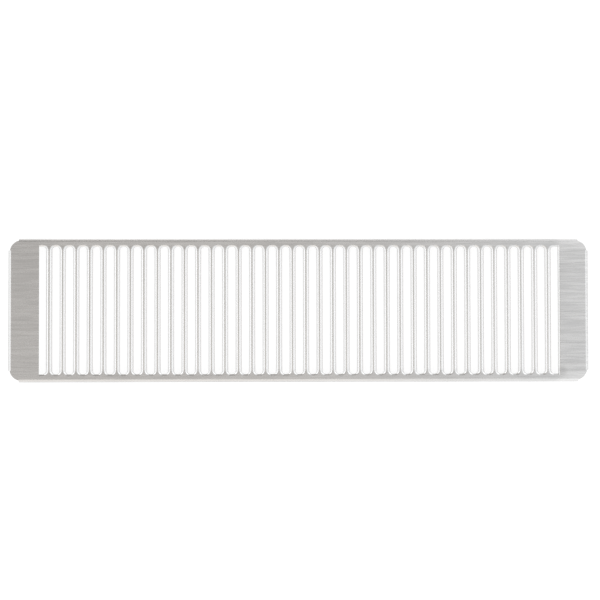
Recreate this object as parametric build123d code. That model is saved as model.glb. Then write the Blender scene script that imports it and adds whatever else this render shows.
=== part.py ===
from build123d import *
import os

# Baguette tray: a flat stainless deck with a long window of cross slots, whose four edges are
# folded down, and the formed crossbars that bridge the window.
# Millimetres. +X runs along the tray, +Y across it to the rear, +Z up.
# The origin is under the middle of the deck, level with the lower edges of the flanges.

LENGTH = 600.0
WIDTH = 148.0
HEIGHT = 15.0
SHEET = 1.2

# Folded edges. They stop short of the deck's four corners, which stay flat and are rounded.
# The corners reach out beyond the lines where the bends start, almost to the flanges' outer faces.
EDGE_BEND_RADIUS = 3.1
LONG_FLANGE = 578.2
SHORT_FLANGE = 124.0
FLANGE_CORNER_RADIUS = 3.0
DECK_CORNER_INSET = 1.7
DECK_CORNER_RADIUS = 12.0

# Crossbars: a narrow flat crest between two flanks that curve down into the slots.
BAR_COUNT = 38
BAR_PITCH = 13.95
BAR_LENGTH = 122.6
BAR_CREST = 0.95
FLANK_RADIUS = 2.75
FLANK_DEPTH = 3.3

# Slots. Each has a formed rim with rounded corners: the flanks turn round the slot ends, where they
# are cut back to a full round. At the end plates the two end slots have a square edge on the left and
# an edge rolled over on the right.
RIM_LENGTH = 135.2
RIM_CORNER_RADIUS = 5.3
SLOT_LENGTH = 131.9
LEFT_PLATE_EDGE_X = 268.35
RIGHT_PLATE_EDGE_X = 268.7
ROLLED_EDGE_RADIUS = 2.0

# A strip of plain rail beyond the slots' rims, so that a tooth meets it on a flat face.
TOOTH_BACKING = 0.6
CUT_MARGIN = 1.0

RIM_HALF_WIDTH = (BAR_PITCH - BAR_CREST) / 2
SLOT_HALF_WIDTH = RIM_HALF_WIDTH - FLANK_RADIUS
BAR_END_Y = BAR_LENGTH / 2
RIM_Y = RIM_LENGTH / 2
RIM_PAST_BAR = RIM_Y - BAR_END_Y
SLOT_PAST_BAR = SLOT_LENGTH / 2 - BAR_END_Y
LIP_REACH = RIM_Y - SLOT_LENGTH / 2
TOOTH_LENGTH = RIM_PAST_BAR + TOOTH_BACKING
BAR_POSITIONS = [(i - (BAR_COUNT - 1) / 2) * BAR_PITCH for i in range(BAR_COUNT)]
END_SLOT_X = BAR_COUNT / 2 * BAR_PITCH


def box_between(low, high):
    """A box from its lowest corner to its highest."""
    size = [b - a for a, b in zip(low, high)]
    corner = (Align.MIN, Align.MIN, Align.MIN)
    return Pos(*low) * Box(*size, align=corner)


def fold_section(radius, reach):
    """Section of sheet that turns down through a right angle, then runs on to a depth of reach.

    The flat sheet would arrive at x = 0 from the left with its upper side on y = 0.
    """
    ring = Pos(0, -radius) * (Circle(radius) - Circle(radius - SHEET))
    quarter = ring & Rectangle(radius, radius, align=(Align.MIN, Align.MAX))
    leg = Pos(radius - SHEET, -radius) * Rectangle(SHEET, reach - radius, align=(Align.MIN, Align.MAX))
    return quarter + leg


def flange(run):
    """One folded edge, centred on the origin, turning down towards +Y with its deck side at Y = 0."""
    section = Plane.YZ * fold_section(EDGE_BEND_RADIUS, HEIGHT)
    bent = Pos(-run / 2, 0, 0) * extrude(section, run)
    lower_corners = bent.edges().filter_by(Axis.Y).group_by(Axis.Z)[0]
    return fillet(lower_corners, FLANGE_CORNER_RADIUS)


def flanges():
    """The four folded edges, in their places, with the deck's upper side on Z = 0."""
    rear = Pos(0, WIDTH / 2 - EDGE_BEND_RADIUS, 0) * flange(LONG_FLANGE)
    front = Rot(0, 0, 180) * rear
    left = Pos(EDGE_BEND_RADIUS - LENGTH / 2, 0, 0) * Rot(0, 0, 90) * flange(SHORT_FLANGE)
    right = Rot(0, 0, 180) * left
    return [rear, front, left, right]


def deck_outline():
    """Outline of the flat deck: straight where the bends start, reaching out at the corners."""
    within_bends = Rectangle(LENGTH - 2 * EDGE_BEND_RADIUS, WIDTH - 2 * EDGE_BEND_RADIUS)
    reach = RectangleRounded(
        LENGTH - 2 * DECK_CORNER_INSET, WIDTH - 2 * DECK_CORNER_INSET, DECK_CORNER_RADIUS
    )
    beside_flanges = Rectangle(LONG_FLANGE, WIDTH) + Rectangle(LENGTH, SHORT_FLANGE)
    return (reach & within_bends) + (reach - beside_flanges)


def deck_sheet():
    """The flat deck with its window open, before the teeth and lips round the slots are added."""
    sheet = extrude(deck_outline(), -SHEET)
    low, high = -SHEET - CUT_MARGIN, CUT_MARGIN
    tooth_end_y = BAR_END_Y + TOOTH_LENGTH
    rolled_edge_x = RIGHT_PLATE_EDGE_X + ROLLED_EDGE_RADIUS
    window = box_between((-END_SLOT_X, -tooth_end_y, low), (END_SLOT_X, tooth_end_y, high))
    end_slots = box_between((-LEFT_PLATE_EDGE_X, -RIM_Y, low), (rolled_edge_x, RIM_Y, high))
    return sheet - window - end_slots


def inward_fold(radius):
    """Section of a flank that turns down towards negative x, from sheet that starts at x = 0."""
    return mirror(fold_section(radius, FLANK_DEPTH), Plane.YZ)


def slot_end():
    """Cutter for the clear, round end of a slot that points along +Y and starts at the bars' ends."""
    low, high = -FLANK_DEPTH - CUT_MARGIN, CUT_MARGIN
    round_y = SLOT_PAST_BAR - SLOT_HALF_WIDTH
    straight = box_between((-SLOT_HALF_WIDTH, -CUT_MARGIN, low), (SLOT_HALF_WIDTH, round_y, high))
    return straight + Pos(0, round_y, (low + high) / 2) * Cylinder(SLOT_HALF_WIDTH, high - low)


def rim_quarter():
    """The flank round one corner of a slot that points along +Y, from the bar's end to the middle."""
    corner_x = RIM_HALF_WIDTH - RIM_CORNER_RADIUS
    corner_y = RIM_PAST_BAR - RIM_CORNER_RADIUS
    side_section = Plane.XZ * Pos(RIM_HALF_WIDTH, 0) * inward_fold(FLANK_RADIUS)
    side = Pos(0, corner_y, 0) * extrude(side_section, corner_y)
    corner_section = Plane.XZ * Pos(RIM_CORNER_RADIUS, 0) * inward_fold(FLANK_RADIUS)
    corner = Pos(corner_x, corner_y, 0) * revolve(corner_section, Axis.Z, 90)
    end = extrude(Plane.YZ * Pos(RIM_PAST_BAR, 0) * inward_fold(FLANK_RADIUS), corner_x)
    return side + corner + end - slot_end()


def tooth():
    """The stub of rail that one crossbar meets, pointing along +Y from the bar's end.

    Its two flanks carry on from the bar's, turn to the middle of the slots on either side and are
    cut back there.
    """
    half_pitch = BAR_PITCH / 2
    to_left_slot = Pos(-half_pitch, 0, 0)
    flat = box_between((-half_pitch, 0, -SHEET), (half_pitch, TOOTH_LENGTH, 0))
    rim_outline = RectangleRounded(2 * RIM_HALF_WIDTH, 2 * RIM_PAST_BAR, RIM_CORNER_RADIUS)
    rim = to_left_slot * extrude(rim_outline, SHEET + CUT_MARGIN, both=True)
    flat = flat - rim - mirror(rim, Plane.YZ)
    flank = to_left_slot * rim_quarter()
    return flat + flank + mirror(flank, Plane.YZ)


def end_lips():
    """The flanks' last stretches, along the ends of the two end slots up to the end plates."""
    section = inward_fold(FLANK_RADIUS)
    section = section & Rectangle(LIP_REACH, FLANK_DEPTH, align=(Align.MAX, Align.MAX))
    section = Plane.YZ * Pos(RIM_Y, 0) * section
    right = Pos(END_SLOT_X, 0, 0) * extrude(section, RIGHT_PLATE_EDGE_X - END_SLOT_X)
    left = Pos(-LEFT_PLATE_EDGE_X, 0, 0) * extrude(section, LEFT_PLATE_EDGE_X - END_SLOT_X)
    rear = [right, left]
    return rear + [mirror(lip, Plane.XZ) for lip in rear]


def rolled_edge():
    """The right end plate's edge along the last slot, rolled over and down."""
    flat_x = RIGHT_PLATE_EDGE_X + ROLLED_EDGE_RADIUS
    section = Plane.XZ * Pos(flat_x, 0) * inward_fold(ROLLED_EDGE_RADIUS)
    return Pos(0, RIM_Y, 0) * extrude(section, RIM_LENGTH)


def deck_frame():
    """The folded deck: end plates, side rails with their teeth and lips, and the four flanges."""
    rear_tooth = Pos(0, BAR_END_Y, 0) * tooth()
    front_tooth = mirror(rear_tooth, Plane.XZ)
    teeth = []
    for x in BAR_POSITIONS:
        teeth += [Pos(x, 0, 0) * rear_tooth, Pos(x, 0, 0) * front_tooth]
    return deck_sheet().fuse(rolled_edge(), *flanges(), *end_lips(), *teeth)


def crossbar():
    """One formed bar, lying along Y and centred on the origin, with its crest on Z = 0."""
    flank = Pos(BAR_CREST / 2, 0) * fold_section(FLANK_RADIUS, FLANK_DEPTH)
    crest = Rectangle(BAR_CREST, SHEET, align=(Align.CENTER, Align.MAX))
    section = crest + flank + mirror(flank, Plane.YZ)
    return Pos(0, BAR_END_Y, 0) * extrude(Plane.XZ * section, BAR_LENGTH)


def save(name, shape):
    """Writes one sub-part, lifted so that the deck's upper side is at the tray's full height."""
    export_step(Pos(0, 0, HEIGHT) * shape, f"parts/{name}.step")


os.makedirs("parts", exist_ok=True)
save("deck_frame", deck_frame())
bar = crossbar()
for number, x in enumerate(BAR_POSITIONS, start=1):
    save(f"crossbar_{number:02d}", Pos(x, 0, 0) * bar)
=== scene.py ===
import math

import bpy
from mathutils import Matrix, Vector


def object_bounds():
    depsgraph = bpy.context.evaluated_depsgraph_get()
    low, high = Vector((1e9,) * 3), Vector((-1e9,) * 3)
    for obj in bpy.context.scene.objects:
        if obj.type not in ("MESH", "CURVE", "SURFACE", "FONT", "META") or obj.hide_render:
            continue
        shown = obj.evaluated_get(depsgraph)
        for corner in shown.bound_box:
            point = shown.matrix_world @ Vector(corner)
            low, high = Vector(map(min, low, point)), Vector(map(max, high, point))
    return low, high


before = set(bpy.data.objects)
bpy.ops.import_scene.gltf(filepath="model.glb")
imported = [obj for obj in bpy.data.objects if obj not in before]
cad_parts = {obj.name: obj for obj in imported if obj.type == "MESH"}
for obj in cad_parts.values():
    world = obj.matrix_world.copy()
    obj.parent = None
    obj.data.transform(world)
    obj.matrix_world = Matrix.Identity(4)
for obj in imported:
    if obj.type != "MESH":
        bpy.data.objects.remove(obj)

cad_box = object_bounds()

# Metres, degrees and linear light, unless a name says otherwise. Each constant of four numbers is an
# ease: it keeps its third number up to the first, then runs smoothly to its fourth at the second.

# Camera: almost straight above, a little towards the front left, with a long lens.
CAMERA_PLACE = (-0.0478, -0.0487, 1.8896)
CAMERA_TILT = (1.812, -1.477, -0.098)
CAMERA_LENS_MM = 108.9
CAMERA_REACH = 40.0

# Floor.
FLOOR_SIZE = 24.0
FLOOR_DROP = 0.0001
FLOOR_GLOW = 0.86
FLOOR_TONES = (0.24, 0.25)
FLOOR_CLOUDS_PER_METRE = 3.0

# Light tent. The eases run over X, Y or Z of a direction, and those of the soft boxes over how nearly
# a direction points at one.
OPENING_BY_X = (-0.16, 0.02, 0.41, 0.46)
OPENING_BY_Y = (-0.16, 0.08, 0.14, -0.055)
FRONT_WALL = (-0.26, 0.03, 1.0, 0.0)
FRONT_WALL_SKEW = -0.2
FRONT_WALL_LEVEL = 0.98
NEAR_FLOOR = (0.10, 0.70, 1.06, 0.0)
LEFT_WALL = (-0.46, -0.26, 1.0, 0.0)
RIGHT_WALL = (0.10, 0.42, 0.0, 1.0)
RIGHT_WALL_LEAN = 0.4
RIGHT_WALL_LEAN_END = 0.2
SIDE_WALL_LEVEL = (-0.3, 0.3, 1.12, 1.04)
SOFTBOX_DIRECTION = (0.52, 0.48, 0.71)
SOFTBOX_LEVEL = (0.93, 0.985, 0.0, 0.6)
COOL_SIDE = (0.02, 0.18, 0.0, 1.0)
OPENING_WARMTH = 0.03
WALL_WARMTH = -0.014

# Where the kinds of surface are: outer bends and flanges by distance past the bends' start, steep faces
# by the Z of the way they face, bars by distance from the tray's middle along it and across it.
BEND_WIDTH = 0.0031
OUTER_EDGE = (-0.001, 0.0, 0.0, 1.0)
STEEP = (0.75, 0.97, 1.0, 0.0)
BARS_ALONG = (0.2651, 0.2661, 1.0, 0.0)
BARS_ACROSS = (0.0593, 0.0643, 1.0, 0.0)

# Brushing: length, width and detail of each noise, drawn out along the tray.
FINE_STREAKS = (0.025, 0.0010, 2.0)
LONG_BANDS = (0.060, 0.0035, 2.0)
CLOUDS = (0.040, 0.025, 1.0)

# Direction across the brushing, tipped a little so that no face lies square to it.
ACROSS_GRAIN = (0.0, 1.0, 0.02)

# Steel: its reflectance, and the changes of it as shares of itself. The eases of the swings and of the
# roughness run over their noise, that of the streaks' strength over X, and those of the bends' painted
# shade and the crests' painted highlight over the Z of the way they face. Plain steel is that of the bars
# and the slots' flanks, and it is lightened by a painted highlight.
STEEL_TONE = 0.77
STEEL_WARMTH = 0.01
EDGE_TINT = 0.55
STREAK_SWING = (0.32, 0.68, -1.0, 1.0)
STREAK_STRENGTH = (0.20, 0.27, 0.042, 0.088)
CLOUD_SWING = (0.35, 0.65, -0.012, 0.012)
# Painted shade: darkens the steep faces of the outer bends and flanges.
BEND_PAINTED_SHADE = (0.20, 0.75, -0.15, 0.0)
# Painted highlight: lightens the bars' crests, where they face straight up.
CREST_PAINTED_HIGHLIGHT = (0.90, 0.99, 0.0, 0.14)
# Painted highlight: lightens the bars and the slots' flanks.
PLAIN_PAINTED_HIGHLIGHT = 0.09
BRUSHED_ROUGHNESS = (0.25, 0.75, 0.21, 0.31)
PLAIN_ROUGHNESS = 0.22
ANISOTROPY = 0.8
RELIEF_STRENGTH = 0.12
RELIEF_DEPTH = 0.0002

# Uneven tone. Right end plate, all painted light: where it starts, how light its long edges are (a painted
# highlight), and one patch of painted shade, by distance from its middle. Rear rail: its inner side, its
# two ends, and how much lighter it is by X.
RIGHT_PLATE = (0.263, 0.274, 0.0, 1.0)
RIGHT_PLATE_HIGHLIGHT_EDGES = (0.060, 0.068, 0.0, 0.14)
PAINTED_SHADE_PLACE = (0.2718, -0.0632, 0.0)
PAINTED_SHADE_CHANGE = (0.001, 0.0085, -0.19, 0.0)
REAR_RAIL = (0.064, 0.069, 0.0, 1.0)
REAR_RAIL_LEFT_END = (-0.275, -0.245, 0.0, 1.0)
REAR_RAIL_RIGHT_END = (0.24, 0.27, 1.0, 0.0)
REAR_RAIL_CHANGE = (-0.12, 0.05, 0.085, 0.035)


class Shader:
    """Builds a node tree a step at a time: every method adds one node and returns its output."""

    def __init__(self, tree):
        self.tree = tree
        tree.nodes.clear()

    def node(self, kind, inputs, **settings):
        """Adds a node and returns the node itself. Each input is given a number or another's output."""
        made = self.tree.nodes.new(kind)
        for name, value in settings.items():
            setattr(made, name, value)
        for name, value in inputs.items():
            if isinstance(value, bpy.types.NodeSocket):
                self.tree.links.new(value, made.inputs[name])
            else:
                made.inputs[name].default_value = value
        return made

    def object_place(self):
        return self.node("ShaderNodeTexCoord", {}).outputs["Object"]

    def maths(self, operation, *values):
        return self.node("ShaderNodeMath", dict(enumerate(values)), operation=operation).outputs[0]

    def vector_maths(self, operation, a, b):
        """The number that the operation makes of two vectors."""
        made = self.node("ShaderNodeVectorMath", {0: a, 1: b}, operation=operation)
        return made.outputs["Value"]

    def parts(self, vector):
        return self.node("ShaderNodeSeparateXYZ", {0: vector}).outputs[:3]

    def joined(self, x, y, z):
        return self.node("ShaderNodeCombineXYZ", {0: x, 1: y, 2: z}).outputs[0]

    def ease(self, value, low, high, at_low, at_high):
        """A smooth step of value from at_low, up to low, to at_high, from high on."""
        given = {"Value": value, "From Min": low, "From Max": high, "To Min": at_low, "To Max": at_high}
        return self.node("ShaderNodeMapRange", given, interpolation_type="SMOOTHSTEP").outputs[0]

    def blend(self, share, a, b):
        """The number a where the share is 0 and b where it is 1."""
        return self.node("ShaderNodeMix", {"Factor": share, "A": a, "B": b}).outputs[0]

    def mix(self, share, a, b):
        """The colour a where the share is 0 and b where it is 1."""
        return self.node("ShaderNodeMix", {0: share, 6: a, 7: b}, data_type="RGBA").outputs[2]

    def noise(self, vector, scale, detail):
        given = {"Vector": vector, "Scale": scale, "Detail": detail, "Roughness": 0.55}
        return self.node("ShaderNodeTexNoise", given).outputs["Fac"]


def grey(level, warmth=0.0):
    """A colour of that level, in linear light, with red raised and blue lowered by the warmth."""
    return (level * (1 + warmth), level, level * (1 - warmth), 1.0)


def steel_regions(shader, place, facing):
    """Shares from 0 to 1 of the outer bends and flanges, of the slots' flanks, and of the bars."""
    from_middle_x = shader.maths("ABSOLUTE", place[0])
    from_middle_y = shader.maths("ABSOLUTE", place[1])
    past_end = shader.maths("SUBTRACT", from_middle_x, cad_box[1].x - BEND_WIDTH)
    past_side = shader.maths("SUBTRACT", from_middle_y, cad_box[1].y - BEND_WIDTH)
    edge = shader.ease(shader.maths("MAXIMUM", past_end, past_side), *OUTER_EDGE)
    flank = shader.maths("MULTIPLY", shader.ease(facing[2], *STEEP), shader.maths("SUBTRACT", 1.0, edge))
    between_plates = shader.ease(from_middle_x, *BARS_ALONG)
    between_rails = shader.ease(from_middle_y, *BARS_ACROSS)
    return edge, flank, shader.maths("MULTIPLY", between_plates, between_rails)


def brushing(shader, place, facing):
    """Noise drawn out along the tray, following the sheet over its folds: streaks, and wide clouds."""
    drop_x = shader.maths("MULTIPLY", place[2], shader.maths("ABSOLUTE", facing[0]))
    drop_y = shader.maths("MULTIPLY", place[2], shader.maths("ABSOLUTE", facing[1]))
    along = shader.maths("ADD", place[0], drop_x)
    across = shader.maths("ADD", place[1], drop_y)

    def drawn_out(length, width, detail):
        scaled_along = shader.maths("DIVIDE", along, length)
        scaled_across = shader.maths("DIVIDE", across, width)
        return shader.noise(shader.joined(scaled_along, scaled_across, 0.0), 1.0, detail)

    pattern = shader.blend(0.5, drawn_out(*FINE_STREAKS), drawn_out(*LONG_BANDS))
    return pattern, drawn_out(*CLOUDS)


def right_plate_painted_light(shader, place):
    """Painted light on the right end plate: a painted highlight along both long edges, and one faint patch
    of painted shade.
    """
    on_plate = shader.ease(place[0], *RIGHT_PLATE)
    # Painted highlight along both long edges.
    lighter = shader.ease(shader.maths("ABSOLUTE", place[1]), *RIGHT_PLATE_HIGHLIGHT_EDGES)
    # Painted shade: a faint dark patch round one point on the plate.
    away = shader.vector_maths("DISTANCE", shader.joined(place[0], place[1], 0.0), PAINTED_SHADE_PLACE)
    return shader.maths("MULTIPLY_ADD", on_plate, lighter, shader.ease(away, *PAINTED_SHADE_CHANGE))


def rear_rail_tone(shader, place):
    """Change of tone on the rear rail: slightly lighter, most along its left half."""
    on_rail = shader.ease(place[1], *REAR_RAIL)
    for rail_end in (REAR_RAIL_LEFT_END, REAR_RAIL_RIGHT_END):
        on_rail = shader.maths("MULTIPLY", on_rail, shader.ease(place[0], *rail_end))
    return shader.maths("MULTIPLY", on_rail, shader.ease(place[0], *REAR_RAIL_CHANGE))


def steel_colour(shader, place, facing, noises, shares):
    """The steel's reflectance, changed by the brushing, the kind of surface, painted shade and highlights,
    and the uneven tone.
    """
    pattern, clouds = noises
    edge, bar, plain = shares
    swing = shader.ease(pattern, *STREAK_SWING)
    streaks = shader.maths("MULTIPLY", swing, shader.ease(place[0], *STREAK_STRENGTH))
    patches = shader.maths("ADD", streaks, shader.ease(clouds, *CLOUD_SWING))
    grain = shader.maths("SUBTRACT", 1.0, plain)
    # Painted shade on the steep faces of the outer bends.
    bend_painted_shade = shader.maths("MULTIPLY", shader.ease(facing[2], *BEND_PAINTED_SHADE), edge)
    # Painted highlight on the bars' crests.
    crest = shader.maths("MULTIPLY", shader.ease(facing[2], *CREST_PAINTED_HIGHLIGHT), bar)
    change = shader.maths("MULTIPLY_ADD", patches, grain, shader.maths("ADD", bend_painted_shade, crest))
    # Painted highlight over the bars and the slots' flanks.
    change = shader.maths("MULTIPLY_ADD", plain, PLAIN_PAINTED_HIGHLIGHT, change)
    # Painted highlight along the right end plate's long edges, and a patch of painted shade on it.
    change = shader.maths("ADD", change, right_plate_painted_light(shader, place))
    change = shader.maths("ADD", change, rear_rail_tone(shader, place))
    # A change of -0.5 gives half the steel's reflectance and 0.5 one and a half times it.
    darkest, lightest = grey(0.5 * STEEL_TONE, STEEL_WARMTH), grey(1.5 * STEEL_TONE, STEEL_WARMTH)
    return shader.mix(shader.maths("ADD", change, 0.5), darkest, lightest)


def brushed_steel():
    """Stainless steel brushed along the tray: fine streaks, longer bands and faint cloudy patches.

    The brushing is coarser towards the right-hand end, and painted shade darkens the steep faces of the
    outer bends.
    The bars and the slots' flanks are smoother, and lighter by a painted highlight; the bars' crests carry
    a further painted highlight.
    """
    material = bpy.data.materials.new("brushed_steel")
    material.use_nodes = True
    shader = Shader(material.node_tree)
    place = shader.parts(shader.object_place())
    facing = shader.parts(shader.node("ShaderNodeNewGeometry", {}).outputs["True Normal"])
    edge, flank, bar = steel_regions(shader, place, facing)
    pattern, clouds = brushing(shader, place, facing)
    plain = shader.maths("MAXIMUM", flank, bar)
    strength = shader.blend(plain, RELIEF_STRENGTH, 0.0)
    relief = {"Height": pattern, "Strength": strength, "Distance": RELIEF_DEPTH}
    look = {
        "Base Color": steel_colour(shader, place, facing, (pattern, clouds), (edge, bar, plain)),
        "Metallic": 1.0,
        "Specular Tint": grey(EDGE_TINT),
        "Roughness": shader.blend(plain, shader.ease(pattern, *BRUSHED_ROUGHNESS), PLAIN_ROUGHNESS),
        "Anisotropic": ANISOTROPY,
        "Tangent": shader.joined(*ACROSS_GRAIN),
        "Normal": shader.node("ShaderNodeBump", relief).outputs[0],
    }
    surface = shader.node("ShaderNodeBsdfPrincipled", look).outputs[0]
    shader.node("ShaderNodeOutputMaterial", {"Surface": surface})
    return material


def floor_material():
    """Pale light-table surface: mostly its own even glow, with a little soft shade from above."""
    material = bpy.data.materials.new("pale_floor")
    material.use_nodes = True
    shader = Shader(material.node_tree)
    clouds = shader.noise(shader.object_place(), FLOOR_CLOUDS_PER_METRE, 2.0)
    colour = shader.mix(clouds, *[grey(tone) for tone in FLOOR_TONES])
    diffuse = shader.node("ShaderNodeBsdfDiffuse", {"Color": colour}).outputs[0]
    glow = shader.node("ShaderNodeEmission", {"Color": grey(1.0), "Strength": FLOOR_GLOW}).outputs[0]
    both = shader.node("ShaderNodeAddShader", {0: diffuse, 1: glow}).outputs[0]
    shader.node("ShaderNodeOutputMaterial", {"Surface": both})
    return material


def make_floor():
    """A plain floor just under the tray."""
    half = FLOOR_SIZE / 2
    corners = [(-half, -half, 0), (half, -half, 0), (half, half, 0), (-half, half, 0)]
    mesh = bpy.data.meshes.new("floor")
    mesh.from_pydata(corners, [], [(0, 1, 2, 3)])
    floor = bpy.data.objects.new("floor", mesh)
    floor.location.z = cad_box[0].z - FLOOR_DROP
    floor.data.materials.append(floor_material())
    bpy.context.scene.collection.objects.link(floor)


def tent_level(shader, x, y, z):
    """Brightness of the light tent in the direction x, y, z."""
    opening = shader.maths("ADD", shader.ease(x, *OPENING_BY_X), shader.ease(y, *OPENING_BY_Y))
    in_front = shader.ease(shader.maths("MULTIPLY_ADD", x, FRONT_WALL_SKEW, y), *FRONT_WALL)
    overhead = shader.blend(in_front, opening, FRONT_WALL_LEVEL)
    middle = shader.maths("MAXIMUM", overhead, shader.ease(z, *NEAR_FLOOR))
    lean = shader.maths("MULTIPLY", shader.maths("MINIMUM", y, RIGHT_WALL_LEAN_END), RIGHT_WALL_LEAN)
    right = shader.ease(shader.maths("ADD", x, lean), *RIGHT_WALL)
    sides = shader.maths("MAXIMUM", shader.ease(x, *LEFT_WALL), right)
    walls = shader.blend(sides, middle, shader.ease(x, *SIDE_WALL_LEVEL))
    to_either_side = shader.joined(shader.maths("ABSOLUTE", x), y, z)
    towards_box = shader.vector_maths("DOT_PRODUCT", to_either_side, SOFTBOX_DIRECTION)
    return shader.maths("ADD", walls, shader.ease(towards_box, *SOFTBOX_LEVEL))


def tent_tint(shader, x):
    """Slightly warm in the opening and slightly cool on the side walls."""
    cool = shader.maths("MAXIMUM", shader.ease(x, *LEFT_WALL), shader.ease(x, *COOL_SIDE))
    return shader.mix(cool, grey(1.0, OPENING_WARMTH), grey(1.0, WALL_WARMTH))


def make_studio_light():
    """A light tent: bright walls left, right and in front, and a darker opening overhead.

    The opening runs on down the back, and the tent is bright all round near the floor. The right wall
    leans in towards the rear. A soft box stands towards the rear on either side.
    """
    world = bpy.data.worlds.new("light_tent")
    world.use_nodes = True
    bpy.context.scene.world = world
    shader = Shader(world.node_tree)
    x, y, z = shader.parts(shader.node("ShaderNodeTexCoord", {}).outputs["Generated"])
    light = {"Color": tent_tint(shader, x), "Strength": tent_level(shader, x, y, z)}
    shader.node("ShaderNodeOutputWorld", {"Surface": shader.node("ShaderNodeBackground", light).outputs[0]})


def make_camera():
    """The camera that the tray is rendered from."""
    data = bpy.data.cameras.new("camera")
    data.lens = CAMERA_LENS_MM
    data.clip_end = CAMERA_REACH
    camera = bpy.data.objects.new("camera", data)
    camera.location = CAMERA_PLACE
    camera.rotation_euler = [math.radians(angle) for angle in CAMERA_TILT]
    bpy.context.scene.collection.objects.link(camera)
    bpy.context.scene.camera = camera


def finish_metal():
    """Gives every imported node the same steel."""
    steel = brushed_steel()
    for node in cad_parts.values():
        node.data.materials.clear()
        node.data.materials.append(steel)


bpy.context.scene.view_settings.view_transform = "Standard"
make_camera()
make_studio_light()
make_floor()
finish_metal()
